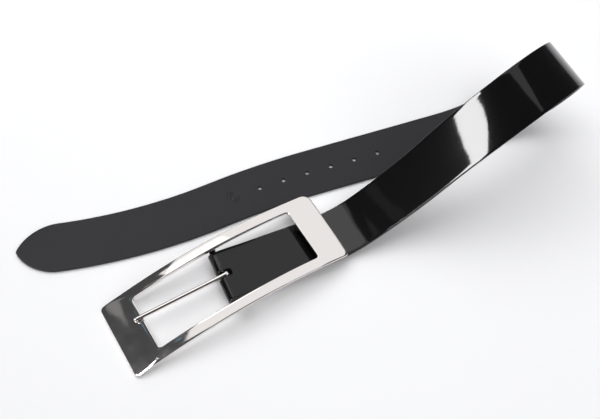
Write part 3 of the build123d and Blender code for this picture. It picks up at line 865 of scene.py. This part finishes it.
def wear(thing, *materials):
    """Gives an object its materials in slot order."""
    thing.data.materials.clear()
    for material in materials:
        thing.data.materials.append(material)


# ---- the object ----------------------------------------------------------
face = make_ply("face_leather", 1, FACE_THICK, FACE_EDGE_ROUND)
wear(face, PATENT, EDGE)
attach(face, "strap")
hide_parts("strap_face")

lining = make_ply("lining_leather", -1, LINING_THICK, LINING_EDGE_ROUND)
wear(lining, LINING, EDGE)
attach(lining, "strap")
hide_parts("strap_lining")

plate = make_frame_plate()
lugs = [make_lug("frame_lug_far", 1), make_lug("frame_lug_near", -1)]
for piece in (plate, *lugs):
    wear(piece, NICKEL)
    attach(piece, "buckle")
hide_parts("buckle_frame")

pin = make_prong_pin()
ring = make_prong_ring()
for piece in (pin, ring):
    wear(piece, NICKEL)
    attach(piece, "prong")
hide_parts("prong")

wear(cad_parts["centre_bar"], NICKEL)
for name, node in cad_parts.items():
    if name.startswith("snap_"):
        wear(node, STEEL)

# ---- stage ---------------------------------------------------------------
def area_light(name, azimuth, elevation, distance, size, power, reflected=True):
    """A rectangular lamp facing the belt, at a direction in degrees and a distance in metres."""
    lamp = bpy.data.lights.new(name, "AREA")
    lamp.shape = "RECTANGLE"
    lamp.size, lamp.size_y = size
    lamp.energy = power
    holder = bpy.data.objects.new(name, lamp)
    bpy.context.scene.collection.objects.link(holder)
    a, e = math.radians(azimuth), math.radians(elevation)
    way = np.array([math.cos(a) * math.cos(e), math.sin(a) * math.cos(e), math.sin(e)])
    place = STAGE_CENTRE + way * distance
    holder.location = place
    holder.rotation_euler = look_along(-way)
    holder.visible_glossy = reflected
    return holder


def look_along(way):
    """Euler turn that points an object's -Z along a direction, its X kept level."""
    return Vector(way).to_track_quat("-Z", "Y").to_euler()


STAGE_CENTRE = np.array([0.0, -0.02, 0.0])
COOL_LIGHT = (0.3, 0.75, 1.0)
FLOOR_REACH = 6.0
FLOOR_DROP = 0.05 * MM       # below the belt, so the two surfaces do not flicker
floor_corners = [(x * FLOOR_REACH, y * FLOOR_REACH, 0) for x, y in ((-1, -1), (1, -1), (1, 1), (-1, 1))]
floor_mesh = bpy.data.meshes.new("floor")
floor_mesh.from_pydata(floor_corners, [], [(0, 1, 2, 3)])
floor = bpy.data.objects.new("floor", floor_mesh)
bpy.context.scene.collection.objects.link(floor)
paper = Finish("white_paper_sweep")
paper.set(Base_Color=(0.93, 0.93, 0.94, 1), Roughness=0.9, Specular_IOR_Level=0.1)
wear(floor, paper.material)
floor.location.z = -FLOOR_DROP

world = bpy.data.worlds.new("studio")
bpy.context.scene.world = world
world.use_nodes = True
sky = world.node_tree.nodes["Background"].inputs
sky["Color"].default_value = (0.92, 0.94, 1.0, 1)
sky["Strength"].default_value = 0.07

area_light("soft_overhead", 135, 66, 3.0, (3.0, 3.0), 57, reflected=False)
area_light("soft_fill", -40, 50, 3.0, (2.5, 2.5), 38, reflected=False)
area_light("back_panel", 92, 56, 1.3, (1.5, 2.2), 9.0)
area_light("side_panel", 134, 61, 1.4, (0.62, 0.4), 0.66)
# seen only in the polished and lacquered surfaces, so they leave the floor's light alone
reflected_only = [
    area_light("key_window", -153, 43, 2.0, (0.48, 0.9), 32),
    area_light("card_warm", 169, 56, 1.5, (0.11, 0.2), 0.017),
    area_light("card_dim", 176, 43, 1.5, (0.2, 0.12), 0.012),
    area_light("card_cool", -176, 60, 1.5, (0.05, 0.07), 0.003),
    area_light("card_cool_low", 178, 51, 1.5, (0.04, 0.06), 0.002),
]
for lamp in reflected_only:
    lamp.visible_diffuse = False
    if lamp.name.startswith("card_cool"):
        lamp.data.color = COOL_LIGHT

scene = bpy.context.scene
scene.view_settings.view_transform = "Standard"
scene.view_settings.exposure = 0.0
lens = bpy.data.cameras.new("camera")
camera = bpy.data.objects.new("camera", lens)
scene.collection.objects.link(camera)
VIEW_TARGET = np.array([-19.0, -44.0, 0.0]) * MM
VIEW_DISTANCE = 850 * MM
VIEW_ELEVATION = math.radians(61)
view_way = np.array([0, -math.cos(VIEW_ELEVATION), math.sin(VIEW_ELEVATION)])
camera.location = VIEW_TARGET + VIEW_DISTANCE * view_way
camera.rotation_euler = (math.pi / 2 - VIEW_ELEVATION, 0, 0)
lens.lens = 52.08
lens.sensor_width = 36
lens.clip_start = 0.05
scene.camera = camera
